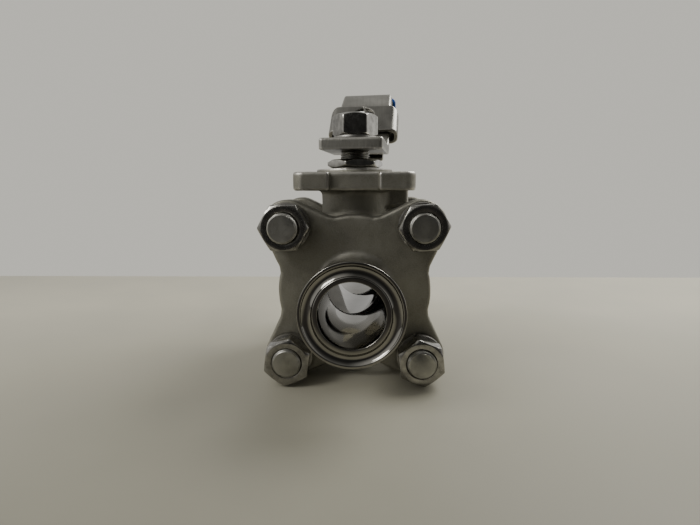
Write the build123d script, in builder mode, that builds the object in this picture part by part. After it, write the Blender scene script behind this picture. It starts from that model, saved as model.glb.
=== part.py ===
from build123d import *
import math
import os

# Three-piece sanitary ball valve with clamp-ferrule ends and a locking lever.
# Millimetres. The origin is the ball's centre, +Z is up the stem, and the pipe runs along Y.

# Pipe ends
BORE_R = 15.9
TUBE_R = 19.05
FERRULE_R = 25.25
FERRULE_RIM_T = 2.85
FERRULE_BACK_ANGLE = 20
END_Y = 84.3
FACE_GROOVE_R = 21.05
FACE_GROOVE_W = 5.7
FACE_GROOVE_DEPTH = 1.6
HUB_FILLET = 5.2

# Clamping flanges and bolting
BOLT_PITCH = 74.0
EAR_R = 14.5
FLANGE_DISC_R = 43.0
WAIST_ANGLE = 16.5
FLANGE_INNER_Y = 21.8
FLANGE_T = 13.0
FLANGE_OUTER_Y = FLANGE_INNER_Y + FLANGE_T
EDGE_ROUND = 1.6
STUD_R = 8.0
STUD_HOLE_R = 8.5
STUD_END_Y = 51.0
STUD_SHIFTS = {(-1, 1): -2.0, (1, 1): 0.0, (-1, -1): 0.4, (1, -1): -0.4}
NUT_AF = 24.0
NUT_H = 11.0
NUT_TURNS = {(-1, 1): 0, (1, 1): 4, (-1, -1): 22, (1, -1): 38}
WASHER_T = 3.4
WASHER_R = 12.9

# Body, ball and seats
BODY_R = 40.5
BODY_HALF = 21.5
CAVITY_R = 30.3
REGISTER_R = 34.0
REGISTER_DEPTH = 4.0
GASKET_T = 2.0
BALL_R = 28.7
SEAT_POCKET_R = 27.0
SEAT_POCKET_Y = 27.0
SEAT_TIP_Y = 15.8
SEAT_GAP = 0.3
FIT_GAP = 0.1

# Neck, actuator pad and stuffing box
NECK_R = 20.5
PAD_TOP = 66.5
PAD_T = 10.3
PAD_W = 68.0
PAD_CORNER = 6.0
PAD_NOTCH_W = 29.6
PAD_NOTCH_DEPTH = 3.0
PAD_PCD = 70.0
PAD_HOLE_R = 4.5
RIB_END_X = 32.0
RIB_HALF_W = 9.0
RIB_BOTTOM = 46.5
BOSS_R = 23.5
BOSS_TOP = 68.6
STOP_RELIEF_R = 17.6
STUFFING_R = 13.5
STUFFING_FLOOR = 47.0
COLLAR_SEAT_Z = 36.8

# Stem stack
STEM_R = 9.0
STEM_GAP = 0.05
COLLAR_R = 13.0
COLLAR_BOTTOM = 31.0
COLLAR_TOP = 35.0
TANG_T = 10.0
TANG_BOTTOM = 21.6
SLOT_FLOOR = 21.0
O_RING_Z = 41.0
O_RING_SECTION_R = 0.8
LEVER_SEAT_Z = 79.5
STEM_TOP = 102.0
STEM_TOP_R = 8.0
STEM_FLATS = 12.5
PACKING_RING_PITCH = 3.6
GLAND_BOTTOM = 60.2
GLAND_TOP = 67.9
PACKING_NUT_AF = 30.0
PACKING_NUT_Z = 69.5
PACKING_NUT_H = 5.0
PACKING_NUT_TURN = 12
STEM_NUT_AF = 24.0
STEM_NUT_Z = 88.2
STEM_NUT_H = 12.7

# Lever: HANDLE_TURN is how far it stands from fully open, about +Z
HANDLE_TURN = -6.5
LEVER_T = 6.5
LEVER_HALF_W = 18.5
GRIP_HALF_W = 16.8
LEVER_FRONT = -21.0
RISER_FOOT = 30.0
RISER_ANGLE = 50.0
SLOPE_ANGLE = 34.0
BEND_Z = 116.0
LEVER_TOP = 126.0
LEVER_END = 190.0
BEND_R = 4.0
LOCK_HOLE_R = 7.0
LOCK_HOLE_U = 17.0
SLEEVE_START = 98.0
SLEEVE_T = 2.7
STOP_PIN_R = 2.5
STOP_PIN_RADIUS = 20.7
STOP_PIN_ANGLE = 112.0
STOP_PIN_BOTTOM = 67.1
STOP_MARGIN = 0.6

# Lock slide, measured up the riser (u) and out of its front face (v)
SLIDE_HALF_W = 24.0
SLIDE_SHEET = 2.6
SLIDE_GAP = 0.8
SLIDE_BOTTOM = 10.5
SLIDE_TOP = 34.5
SLIDE_CURL_R = 4.6
SLIDE_SHOULDER_R = 7.0
SEAM_HALF_W = 0.6
TONGUE_HALF_W = 14.5
TONGUE_END = -5.3
NIB_HALF_W = 3.5
NIB_END = -14.2
LOCK_TRAVEL = 8.0
RIVET_U = 5.5
RIVET_R = 2.4
POCKET_FLOOR = 61.5
POCKET_INNER_R = 19.4
POCKET_OUTER_R = 28.0
POCKET_SIDE_GAP = 0.4

CORNERS = [(-1, 1), (1, 1), (-1, -1), (1, -1)]
FRONT = Plane((0, 0, 0), x_dir=(1, 0, 0), z_dir=(0, -1, 0))
REAR = Plane((0, 0, 0), x_dir=(-1, 0, 0), z_dir=(0, 1, 0))

# Handle frame: "right" and "ahead" are the lever's own directions, "climb" runs up its riser
turn = math.radians(HANDLE_TURN)
rise = math.radians(RISER_ANGLE)
right = Vector(math.cos(turn), math.sin(turn), 0)
ahead = Vector(-math.sin(turn), math.cos(turn), 0)
up = Vector(0, 0, 1)
climb = ahead * math.cos(rise) + up * math.sin(rise)
outward = up * math.cos(rise) - ahead * math.sin(rise)
LEVER_SIDE = Plane((0, 0, 0), x_dir=ahead, z_dir=right)
HANDLE = Plane((0, 0, 0), x_dir=right, z_dir=up)
HUB_TOP = LEVER_SEAT_Z + LEVER_T
foot = ahead * RISER_FOOT + up * HUB_TOP
RISER_FACE = Plane(foot, x_dir=right, z_dir=outward)
RISER_SECTION = Plane(foot, x_dir=right, z_dir=climb)


def side_plane(side):
    """Half-section plane through the pipe axis: x is the distance from the centre, y the radius."""
    return Plane((0, 0, 0), x_dir=(0, side, 0), z_dir=(side, 0, 0))


def tangent_point(point, centre, radius, hand):
    """Where a line from point touches a circle, on the side given by hand (+1 left, -1 right)."""
    reach = math.dist(point, centre)
    heading = math.atan2(centre[1] - point[1], centre[0] - point[0])
    heading += hand * math.asin(radius / reach)
    run = math.sqrt(reach**2 - radius**2)
    return (point[0] + run * math.cos(heading), point[1] + run * math.sin(heading))


def ear_outline(sx, sy):
    """Straight-flanked web from the flange disc out to one round ear."""
    waist = math.radians(WAIST_ANGLE)
    near, far = FLANGE_DISC_R * math.cos(waist), FLANGE_DISC_R * math.sin(waist)
    centre = (BOLT_PITCH / 2, BOLT_PITCH / 2)
    low, high = (near, far), (far, near)
    low_touch = tangent_point(low, centre, EAR_R, -1)
    high_touch = tangent_point(high, centre, EAR_R, 1)
    points = [(0, 0), low, low_touch, centre, high_touch, high]
    return [(sx * x, sy * y) for x, y in points]


def hex_nut(across_flats, height, hole_r):
    """Hexagon nut on XY with both ends chamfered to the flats, corners on the X axis."""
    corner_r = across_flats / math.sqrt(3)
    face_r = 0.96 * across_flats / 2
    slope_h = (corner_r - face_r) * math.tan(math.radians(30))
    outline = [(0, 0), (face_r, 0), (corner_r, slope_h), (corner_r, height - slope_h), (face_r, height), (0, height)]
    with BuildPart() as nut:
        with BuildSketch():
            RegularPolygon(corner_r, 6)
            Circle(hole_r, mode=Mode.SUBTRACT)
        extrude(amount=height)
        with BuildSketch(Plane.XZ):
            Polygon(*outline, align=None)
        revolve(axis=Axis.Z, mode=Mode.INTERSECT)
    return nut.part


def spring_washer(inner_r, outer_r, thickness):
    """Split lock washer on XY."""
    with BuildPart() as washer:
        with BuildSketch():
            Circle(outer_r)
            Circle(inner_r, mode=Mode.SUBTRACT)
            with Locations(Location(((inner_r + outer_r) / 2, 0, 0), (0, 0, 20))):
                Rectangle(outer_r, 1.2, mode=Mode.SUBTRACT)
        extrude(amount=thickness)
    return washer.part


def clamp_flange(plane):
    """Four-eared plate with rounded rims, open in the middle for the turned part of the cap."""
    with BuildPart() as flange:
        with BuildSketch(plane.offset(FLANGE_INNER_Y)):
            Circle(FLANGE_DISC_R)
            for sx, sy in CORNERS:
                Polygon(*ear_outline(sx, sy), align=None)
                with Locations((sx * BOLT_PITCH / 2, sy * BOLT_PITCH / 2)):
                    Circle(EAR_R)
            Circle(REGISTER_R, mode=Mode.SUBTRACT)
        extrude(amount=FLANGE_T)
        across = flange.faces().filter_by(Plane.XZ)
        fillet(across[0].outer_wire().edges() + across[1].outer_wire().edges(), EDGE_ROUND)
    return flange.part


def end_cap(side, plane):
    """Clamping flange with a register, seat pocket, stub tube and clamp ferrule."""
    back_run = (FERRULE_R - TUBE_R - 1.4) * math.tan(math.radians(FERRULE_BACK_ANGLE))
    rim_y = END_Y - FERRULE_RIM_T
    half_groove = FACE_GROOVE_W / 2
    register_end = BODY_HALF - REGISTER_DEPTH + GASKET_T
    hub_y = FLANGE_OUTER_Y
    with BuildPart() as cap:
        with BuildSketch(side_plane(side)):
            with BuildLine():
                Polyline((register_end, SEAT_POCKET_R), (register_end, REGISTER_R - FIT_GAP),
                         (FLANGE_INNER_Y, REGISTER_R - FIT_GAP), (FLANGE_INNER_Y, FLANGE_DISC_R - 4),
                         (hub_y, FLANGE_DISC_R - 4), (hub_y, TUBE_R + HUB_FILLET))
                CenterArc((hub_y + HUB_FILLET, TUBE_R + HUB_FILLET), HUB_FILLET, 180, 90)
                Polyline((hub_y + HUB_FILLET, TUBE_R), (rim_y - back_run - 1.4, TUBE_R),
                         (rim_y - back_run, TUBE_R + 1.4), (rim_y, FERRULE_R), (END_Y - 0.3, FERRULE_R),
                         (END_Y, FERRULE_R - 0.3), (END_Y, FACE_GROOVE_R + half_groove),
                         (END_Y - FACE_GROOVE_DEPTH, FACE_GROOVE_R + half_groove / 2),
                         (END_Y - FACE_GROOVE_DEPTH, FACE_GROOVE_R - half_groove / 2),
                         (END_Y, FACE_GROOVE_R - half_groove), (END_Y, BORE_R), (SEAT_POCKET_Y, BORE_R),
                         (SEAT_POCKET_Y, SEAT_POCKET_R), (register_end, SEAT_POCKET_R))
            make_face()
        revolve(axis=Axis.Y)
        add(clamp_flange(plane))
        with BuildSketch(plane.offset(FLANGE_INNER_Y)):
            with GridLocations(BOLT_PITCH, BOLT_PITCH, 2, 2):
                Circle(STUD_HOLE_R)
        extrude(amount=FLANGE_T, mode=Mode.SUBTRACT)
    return cap.part


def seat(side):
    """PTFE seat ring with a spherical hollow that clears the ball."""
    with BuildPart() as ring:
        with BuildSketch(side_plane(side)):
            Polygon((SEAT_TIP_Y, BORE_R), (SEAT_POCKET_Y, BORE_R), (SEAT_POCKET_Y, SEAT_POCKET_R - FIT_GAP),
                    (SEAT_TIP_Y, SEAT_POCKET_R - FIT_GAP), align=None)
        revolve(axis=Axis.Y)
        Sphere(BALL_R + SEAT_GAP, mode=Mode.SUBTRACT)
    return ring.part


def body_gasket(side):
    """Flat PTFE ring at the bottom of the body's register."""
    inner = BODY_HALF - REGISTER_DEPTH
    with BuildPart() as ring:
        with BuildSketch(side_plane(side)):
            Polygon((inner, CAVITY_R + 0.6), (inner + GASKET_T, CAVITY_R + 0.6),
                    (inner + GASKET_T, REGISTER_R - FIT_GAP), (inner, REGISTER_R - FIT_GAP), align=None)
        revolve(axis=Axis.Y)
    return ring.part


def placed_on_corners(plane, height, item, turns):
    """Four copies of item standing on plane at the corners of the bolt square."""
    with BuildPart() as group:
        for sx, sy in CORNERS:
            spot = Location((sx * BOLT_PITCH / 2, sy * BOLT_PITCH / 2, height), (0, 0, turns[(sx, sy)]))
            add(plane.location * spot * item)
    return group.part


def save(piece, label):
    piece.part.label = label
    export_step(piece.part, f"parts/{label}.step")


def save_made(made, label):
    with BuildPart() as piece:
        add(made)
    save(piece, label)


os.makedirs("parts", exist_ok=True)

# End caps, seats and gaskets
save_made(end_cap(-1, FRONT), "front_end_cap")
save_made(end_cap(1, REAR), "rear_end_cap")
save_made(seat(-1), "front_seat")
save_made(seat(1), "rear_seat")
save_made(body_gasket(-1), "front_body_gasket")
save_made(body_gasket(1), "rear_body_gasket")

# Bolting
washer = spring_washer(STUD_R + 0.3, WASHER_R, WASHER_T)
nut = hex_nut(NUT_AF, NUT_H, STUD_R)
save_made(placed_on_corners(FRONT, FLANGE_OUTER_Y, washer, NUT_TURNS), "front_spring_washers")
save_made(placed_on_corners(REAR, FLANGE_OUTER_Y, washer, NUT_TURNS), "rear_spring_washers")
save_made(placed_on_corners(FRONT, FLANGE_OUTER_Y + WASHER_T, nut, NUT_TURNS), "front_nuts")
save_made(placed_on_corners(REAR, FLANGE_OUTER_Y + WASHER_T, nut, NUT_TURNS), "rear_nuts")

with BuildPart() as through_studs:
    for (sx, sz), shift in STUD_SHIFTS.items():
        with BuildSketch(FRONT.offset(-STUD_END_Y - shift)):
            with Locations((sx * BOLT_PITCH / 2, sz * BOLT_PITCH / 2)):
                Circle(STUD_R)
        extrude(amount=2 * STUD_END_Y)
    chamfer(through_studs.edges().filter_by(GeomType.CIRCLE), 1.2)
save(through_studs, "through_studs")

# Square actuator pad, notched in the middle of each side
with BuildPart() as actuator_pad:
    with BuildSketch(Plane.XY.offset(PAD_TOP - PAD_T)):
        RectangleRounded(PAD_W, PAD_W, PAD_CORNER)
        with PolarLocations(PAD_W / 2, 4):
            RectangleRounded(2 * PAD_NOTCH_DEPTH, PAD_NOTCH_W, 1.5, mode=Mode.SUBTRACT)
    extrude(amount=PAD_T)
    chamfer(actuator_pad.faces().filter_by(Plane.XY).edges(), 1.2)

# Valve body: barrel, neck and pad with its boss, stop relief and lock pockets
with BuildPart() as valve_body:
    with BuildSketch(FRONT.offset(-BODY_HALF)):
        Circle(BODY_R)
    extrude(amount=2 * BODY_HALF)
    chamfer(valve_body.edges().filter_by(GeomType.CIRCLE), 1.2)
    with BuildSketch(Plane.XY.offset(CAVITY_R)):
        Circle(NECK_R)
    extrude(amount=PAD_TOP - PAD_T - CAVITY_R)
    # Rib carrying the pad out to its right side
    with BuildSketch(Plane.XY.offset(RIB_BOTTOM)):
        with Locations((RIB_END_X / 2, 0)):
            Rectangle(RIB_END_X, 2 * RIB_HALF_W)
    extrude(amount=PAD_TOP - PAD_T - RIB_BOTTOM)
    add(actuator_pad.part)
    with BuildSketch(Plane.XY.offset(PAD_TOP)):
        stop_angles = [STOP_PIN_ANGLE - 90, STOP_PIN_ANGLE]
        pin_half = math.degrees(math.asin(STOP_PIN_R / STOP_PIN_RADIUS)) + STOP_MARGIN
        start, finish = stop_angles[0] - pin_half, stop_angles[1] + pin_half
        fan = [(0, 0)]
        for angle in (start, (start + finish) / 2, finish):
            fan.append((3 * BOSS_R * math.cos(math.radians(angle)), 3 * BOSS_R * math.sin(math.radians(angle))))
        Circle(BOSS_R)
        Polygon(*fan, align=None, mode=Mode.SUBTRACT)
        Circle(STOP_RELIEF_R)
    extrude(amount=BOSS_TOP - PAD_TOP)
    # Lock pockets at fully open and fully closed, each wide enough for the lever's play
    with BuildSketch(Plane.XY.offset(POCKET_FLOOR)):
        for closed in (0, -90):
            for swing in (0, HANDLE_TURN / 2, HANDLE_TURN):
                spot = Rot(0, 0, closed + swing) * Pos(0, (POCKET_INNER_R + POCKET_OUTER_R) / 2, 0)
                with Locations(spot):
                    Rectangle(2 * (NIB_HALF_W + POCKET_SIDE_GAP), POCKET_OUTER_R - POCKET_INNER_R)
    extrude(amount=BOSS_TOP - POCKET_FLOOR, mode=Mode.SUBTRACT)
    with BuildSketch(Plane.XY.offset(PAD_TOP - PAD_T)):
        with PolarLocations(PAD_PCD / 2, 4, start_angle=45):
            Circle(PAD_HOLE_R)
    extrude(amount=PAD_T, mode=Mode.SUBTRACT)
    # Cavity, registers, stem bore and stuffing box
    with BuildSketch(FRONT.offset(-BODY_HALF)):
        Circle(CAVITY_R)
    extrude(amount=2 * BODY_HALF, mode=Mode.SUBTRACT)
    for face_plane in (FRONT, REAR):
        with BuildSketch(face_plane.offset(BODY_HALF - REGISTER_DEPTH)):
            Circle(REGISTER_R)
        extrude(amount=REGISTER_DEPTH, mode=Mode.SUBTRACT)
    for radius, low, high in ((COLLAR_R + 0.3, 0, COLLAR_SEAT_Z), (STEM_R + STEM_GAP, 0, BOSS_TOP),
                              (STUFFING_R, STUFFING_FLOOR, BOSS_TOP)):
        with BuildSketch(Plane.XY.offset(low)):
            Circle(radius)
        extrude(amount=high - low, mode=Mode.SUBTRACT)
save(valve_body, "valve_body")

# Ball: its bore follows the lever, its drive slot lies across the bore
with BuildPart() as ball:
    Sphere(BALL_R)
    with BuildSketch(Plane((0, 0, 0), x_dir=right, z_dir=ahead)):
        Circle(BORE_R)
    extrude(amount=BALL_R, both=True, mode=Mode.SUBTRACT)
    with BuildSketch(HANDLE.offset(SLOT_FLOOR)):
        Rectangle(2 * BALL_R, TANG_T + 0.3)
    extrude(amount=BALL_R, mode=Mode.SUBTRACT)
save(ball, "ball")

# Stem: tang, blow-out-proof collar, shaft and double-D top
with BuildPart() as stem:
    with BuildSketch(HANDLE.offset(TANG_BOTTOM)):
        Circle(COLLAR_R - 0.4)
        Rectangle(2 * COLLAR_R, TANG_T, mode=Mode.INTERSECT)
    extrude(amount=COLLAR_BOTTOM - TANG_BOTTOM)
    for radius, low, high in ((COLLAR_R, COLLAR_BOTTOM, COLLAR_TOP), (STEM_R, COLLAR_TOP, LEVER_SEAT_Z)):
        with BuildSketch(Plane.XY.offset(low)):
            Circle(radius)
        extrude(amount=high - low)
    with BuildSketch(HANDLE.offset(LEVER_SEAT_Z)):
        Circle(STEM_TOP_R)
        Rectangle(STEM_FLATS, 2 * STEM_TOP_R, mode=Mode.INTERSECT)
    extrude(amount=STEM_TOP - LEVER_SEAT_Z)
    chamfer(stem.faces().sort_by(Axis.Z)[-1].edges(), 0.8)
    with BuildSketch(Plane.XY.offset(O_RING_Z - 1.1)):
        Circle(STEM_R + 1)
        Circle(STEM_R - 2 * O_RING_SECTION_R, mode=Mode.SUBTRACT)
    extrude(amount=2.2, mode=Mode.SUBTRACT)
save(stem, "stem")

with BuildPart() as stem_o_ring:
    Torus(STEM_R + 0.02 - O_RING_SECTION_R, O_RING_SECTION_R)
save_made(Pos(0, 0, O_RING_Z) * stem_o_ring.part, "stem_o_ring")

with BuildPart() as stem_thrust_washer:
    with BuildSketch(Plane.XY.offset(COLLAR_TOP)):
        Circle(COLLAR_R)
        Circle(STEM_R, mode=Mode.SUBTRACT)
    extrude(amount=COLLAR_SEAT_Z - COLLAR_TOP - FIT_GAP)
save(stem_thrust_washer, "stem_thrust_washer")

# Chevron packing and the gland ring that presses it
with BuildPart() as packing_rings:
    inner, outer = STEM_R + STEM_GAP, STUFFING_R
    middle = (inner + outer) / 2
    for row in range(3):
        low = STUFFING_FLOOR + row * PACKING_RING_PITCH
        high = low + PACKING_RING_PITCH - 0.9
        with BuildSketch(Plane.XZ):
            Polygon((inner, low), (middle, low + 0.9), (outer, low), (outer, high), (middle, high + 0.9),
                    (inner, high), align=None)
        revolve(axis=Axis.Z)
save(packing_rings, "packing_rings")

with BuildPart() as gland_ring:
    with BuildSketch(Plane.XY.offset(GLAND_BOTTOM)):
        Circle(STUFFING_R - FIT_GAP)
        Circle(STEM_R + 0.3, mode=Mode.SUBTRACT)
    extrude(amount=GLAND_TOP - GLAND_BOTTOM)
save(gland_ring, "gland_ring")

# Two disc springs, small ends together, under the packing nut
with BuildPart() as disc_springs:
    near, far, sheet = STEM_R + 0.15, STUFFING_R - 0.2, 0.5
    low = GLAND_TOP + 0.05
    middle, high = (low + PACKING_NUT_Z) / 2, PACKING_NUT_Z
    with BuildSketch(Plane.XZ):
        Polygon((far, low), (far, low + sheet), (near, middle), (near, middle - sheet), align=None)
        Polygon((far, high), (far, high - sheet), (near, middle), (near, middle + sheet), align=None)
    revolve(axis=Axis.Z)
save(disc_springs, "disc_springs")

packing_hex = hex_nut(PACKING_NUT_AF, PACKING_NUT_H, STEM_R)
save_made(Location((0, 0, PACKING_NUT_Z), (0, 0, PACKING_NUT_TURN)) * packing_hex, "packing_nut")
save_made(Pos(0, 0, STEM_NUT_Z) * hex_nut(STEM_NUT_AF, STEM_NUT_H, STEM_TOP_R), "stem_nut")
lock_washer = spring_washer(STEM_TOP_R + 0.2, 13.2, STEM_NUT_Z - HUB_TOP)
save_made(Location((0, 0, HUB_TOP), (0, 0, 150)) * lock_washer, "stem_spring_washer")

# Lever: one bent strip, cut to its plan outline
slope = math.radians(SLOPE_ANGLE)
bend_y = RISER_FOOT + (BEND_Z - HUB_TOP) / math.tan(rise)
crest_y = bend_y + (LEVER_TOP - BEND_Z) / math.tan(slope)
top_line = [(LEVER_FRONT, HUB_TOP), (RISER_FOOT, HUB_TOP), (bend_y, BEND_Z), (crest_y, LEVER_TOP),
            (LEVER_END, LEVER_TOP)]
headings = [0, rise, slope, 0]


def lever_underside():
    """The top line moved square to itself by the lever's thickness, with mitred corners."""
    normals = [(math.sin(h), -math.cos(h)) for h in headings]
    before = [normals[0]] + normals
    after = normals + [normals[-1]]
    line = []
    for (y, z), a, b in zip(top_line, before, after):
        scale = LEVER_T / (1 + a[0] * b[0] + a[1] * b[1])
        line.append((y + scale * (a[0] + b[0]), z + scale * (a[1] + b[1])))
    return line


def lever_plan(edge, start, end, hub_edge):
    """Plan outline of the strip: parallel hub, slightly tapered slopes and a tapered grip."""
    taper_w = edge - 2.0
    right_side = [(hub_edge, start), (hub_edge, RISER_FOOT), (edge, SLEEVE_START), (taper_w, end)]
    left_side = [(-x, y) for x, y in reversed(right_side)]
    return right_side + left_side


stop_spot = (STOP_PIN_RADIUS * math.cos(math.radians(STOP_PIN_ANGLE)),
             STOP_PIN_RADIUS * math.sin(math.radians(STOP_PIN_ANGLE)))
with BuildPart() as lever:
    with BuildSketch(LEVER_SIDE):
        under_line = lever_underside()
        with BuildLine():
            FilletPolyline(*top_line, radius=[BEND_R, BEND_R + LEVER_T, BEND_R + LEVER_T])
            Line(top_line[-1], under_line[-1])
            FilletPolyline(*under_line, radius=[BEND_R + LEVER_T, BEND_R, BEND_R])
            Line(under_line[0], top_line[0])
        make_face()
    extrude(amount=LEVER_HALF_W, both=True)
    with BuildSketch(HANDLE.offset(LEVER_SEAT_Z - 1)) as plan:
        Polygon(*lever_plan(GRIP_HALF_W, LEVER_FRONT, LEVER_END, LEVER_HALF_W), align=None)
        fillet(plan.vertices().sort_by_distance(LEVER_SIDE.from_local_coords((LEVER_FRONT, 0, 0)))[:2], 2)
        fillet(plan.vertices().sort_by_distance(LEVER_SIDE.from_local_coords((LEVER_END, 0, 0)))[:2], 11)
    extrude(amount=LEVER_TOP, mode=Mode.INTERSECT)
    with BuildSketch(HANDLE.offset(LEVER_SEAT_Z)):
        Circle(STEM_TOP_R + 0.1)
        Rectangle(STEM_FLATS + 0.2, 3 * STEM_TOP_R, mode=Mode.INTERSECT)
        with Locations(stop_spot):
            Circle(STOP_PIN_R)
    extrude(amount=LEVER_T, mode=Mode.SUBTRACT)
    with BuildSketch(RISER_FACE):
        with Locations((0, LOCK_HOLE_U)):
            Circle(LOCK_HOLE_R)
        with Locations((0, RIVET_U)):
            Circle(RIVET_R)
    extrude(amount=LEVER_T + 2, both=True, mode=Mode.SUBTRACT)
save(lever, "lever")

with BuildPart() as stop_pin:
    with BuildSketch(HANDLE.offset(STOP_PIN_BOTTOM)):
        with Locations(stop_spot):
            Circle(STOP_PIN_R)
    extrude(amount=HUB_TOP - STOP_PIN_BOTTOM)
save(stop_pin, "stop_pin")

# Lock slide: a sleeve folded round the riser with its seam in front, tongue and nib below.
# Its padlock hole meets the lever's when the slide is down.
wing_depth = LEVER_T + 2 * SLIDE_GAP + 2 * SLIDE_SHEET
plate_v = LEVER_T + SLIDE_GAP
with BuildPart() as lock_slide:
    with BuildSketch(RISER_SECTION.offset(SLIDE_BOTTOM)):
        with Locations((0, LEVER_T / 2)):
            RectangleRounded(2 * SLIDE_HALF_W, wing_depth, SLIDE_CURL_R)
            RectangleRounded(2 * (SLIDE_HALF_W - SLIDE_SHEET), wing_depth - 2 * SLIDE_SHEET,
                             SLIDE_CURL_R - SLIDE_SHEET, mode=Mode.SUBTRACT)
        with Locations((0, -wing_depth / 2 + LEVER_T / 2)):
            Rectangle(2 * SEAM_HALF_W, wing_depth, mode=Mode.SUBTRACT)
    extrude(amount=SLIDE_TOP - SLIDE_BOTTOM)
    with BuildSketch(RISER_FACE.offset(-plate_v)):
        for half_w, low in ((TONGUE_HALF_W, TONGUE_END), (NIB_HALF_W, NIB_END)):
            with Locations((0, (low + SLIDE_BOTTOM + 2) / 2)):
                Rectangle(2 * half_w, SLIDE_BOTTOM + 2 - low)
    extrude(amount=-SLIDE_SHEET)
    with BuildSketch(RISER_FACE) as slide_outline:
        with Locations((0, (SLIDE_TOP + NIB_END) / 2)):
            Rectangle(2 * SLIDE_HALF_W, SLIDE_TOP - NIB_END)
        fillet(slide_outline.vertices().sort_by(Axis.Z)[-2:], SLIDE_SHOULDER_R)
        with Locations((0, LOCK_HOLE_U + LOCK_TRAVEL)):
            Circle(LOCK_HOLE_R + 0.2, mode=Mode.SUBTRACT)
        with Locations(Location((0, RIVET_U + LOCK_TRAVEL / 2, 0), (0, 0, 90))):
            SlotCenterToCenter(LOCK_TRAVEL + 0.2, 2 * RIVET_R + 0.4, mode=Mode.SUBTRACT)
    extrude(amount=30, both=True, mode=Mode.INTERSECT)
save(lock_slide, "lock_slide")

with BuildPart() as lock_rivet:
    with BuildSketch(RISER_FACE):
        with Locations((0, RIVET_U)):
            Circle(RIVET_R)
    extrude(amount=-plate_v - SLIDE_SHEET - 0.4)
    with BuildSketch(RISER_FACE.offset(-plate_v - SLIDE_SHEET - 0.4)):
        with Locations((0, RIVET_U)):
            Circle(2 * RIVET_R)
    extrude(amount=-1.6)
save(lock_rivet, "lock_rivet")

# Vinyl grip sleeve: a rounded blank hollowed by the lever
with BuildPart() as grip_sleeve:
    with BuildSketch(HANDLE.offset(LEVER_TOP - LEVER_T - SLEEVE_T)) as sleeve_plan:
        wide, narrow = GRIP_HALF_W + SLEEVE_T, GRIP_HALF_W + SLEEVE_T - 2
        start, end = SLEEVE_START, LEVER_END + SLEEVE_T
        Polygon((wide, start), (narrow, end), (-narrow, end), (-wide, start), align=None)
        fillet(sleeve_plan.vertices().sort_by_distance(LEVER_SIDE.from_local_coords((end, 0, 0)))[:2], 13)
    extrude(amount=LEVER_T + 2 * SLEEVE_T)
    flat_faces = grip_sleeve.faces().filter_by(Plane.XY)
    fillet(flat_faces[0].edges() + flat_faces[1].edges(), 4.2)
    add(lever.part, mode=Mode.SUBTRACT)
save(grip_sleeve, "grip_sleeve")
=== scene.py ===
import math

import bpy
import numpy as np
from mathutils import Matrix, Vector, noise


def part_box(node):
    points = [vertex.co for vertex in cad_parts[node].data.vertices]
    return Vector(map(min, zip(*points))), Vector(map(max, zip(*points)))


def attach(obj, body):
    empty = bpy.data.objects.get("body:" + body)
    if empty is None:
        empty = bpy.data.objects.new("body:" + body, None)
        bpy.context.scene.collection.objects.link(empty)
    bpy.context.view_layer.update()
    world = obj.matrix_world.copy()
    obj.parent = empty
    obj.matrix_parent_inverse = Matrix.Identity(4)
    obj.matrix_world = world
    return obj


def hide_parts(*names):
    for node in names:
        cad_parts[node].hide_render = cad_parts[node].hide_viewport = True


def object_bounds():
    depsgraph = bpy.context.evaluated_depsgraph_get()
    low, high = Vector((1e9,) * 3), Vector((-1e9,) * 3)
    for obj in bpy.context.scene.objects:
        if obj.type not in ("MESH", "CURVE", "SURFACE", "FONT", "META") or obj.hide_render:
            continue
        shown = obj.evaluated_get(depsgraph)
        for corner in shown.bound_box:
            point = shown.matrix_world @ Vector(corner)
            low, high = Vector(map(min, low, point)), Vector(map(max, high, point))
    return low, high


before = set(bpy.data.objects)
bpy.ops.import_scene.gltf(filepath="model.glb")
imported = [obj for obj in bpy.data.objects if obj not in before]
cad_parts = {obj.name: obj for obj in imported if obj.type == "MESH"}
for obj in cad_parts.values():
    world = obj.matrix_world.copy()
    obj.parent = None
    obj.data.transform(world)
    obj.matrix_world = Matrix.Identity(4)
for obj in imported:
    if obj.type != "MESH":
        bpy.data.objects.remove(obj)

# Ball valve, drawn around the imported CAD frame. Sizes below are in millimetres and become
# metres when a mesh is made. +Z is up the stem and the pipe runs along Y, front end at -Y.
MM = 0.001
cad_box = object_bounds()


def box_mm(node):
    low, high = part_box(node)
    return np.array(low) / MM, np.array(high) / MM


# Driving sizes, read from the frame where a node gives them
CAP_LOW, CAP_HIGH = box_mm("front_end_cap")
END_Y = -CAP_LOW[1]
REGISTER_END_Y = -CAP_HIGH[1]
EAR_REACH = CAP_HIGH[0]
NUT_LOW, NUT_HIGH = box_mm("front_nuts")
NUT_OUTER_Y, NUT_INNER_Y = -NUT_LOW[1], -NUT_HIGH[1]
FLANGE_OUTER_Y = -box_mm("front_spring_washers")[1][1]
BODY_HALF = box_mm("valve_body")[1][1]
BOSS_TOP = box_mm("valve_body")[1][2]
BOSS_RISE = 2.1
PAD_TOP = BOSS_TOP - BOSS_RISE
LEVER_TOP = box_mm("lever")[1][2]
LEVER_SEAT_Z = box_mm("lever")[0][2]
STEM_TOP = box_mm("stem")[1][2]

# Pipe ends
BORE_R = 15.9
LINER_R = 16.4
TUBE_R = 19.05
FERRULE_R = 25.25
FERRULE_RIM_T = 2.85
FERRULE_ROOT_R = 1.4
FERRULE_LENGTH = 7.6
GROOVE_OUTER_R, GROOVE_W, GROOVE_DEPTH = 23.9, 5.7, 1.7
LINER_END_Y = 27.0

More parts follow.
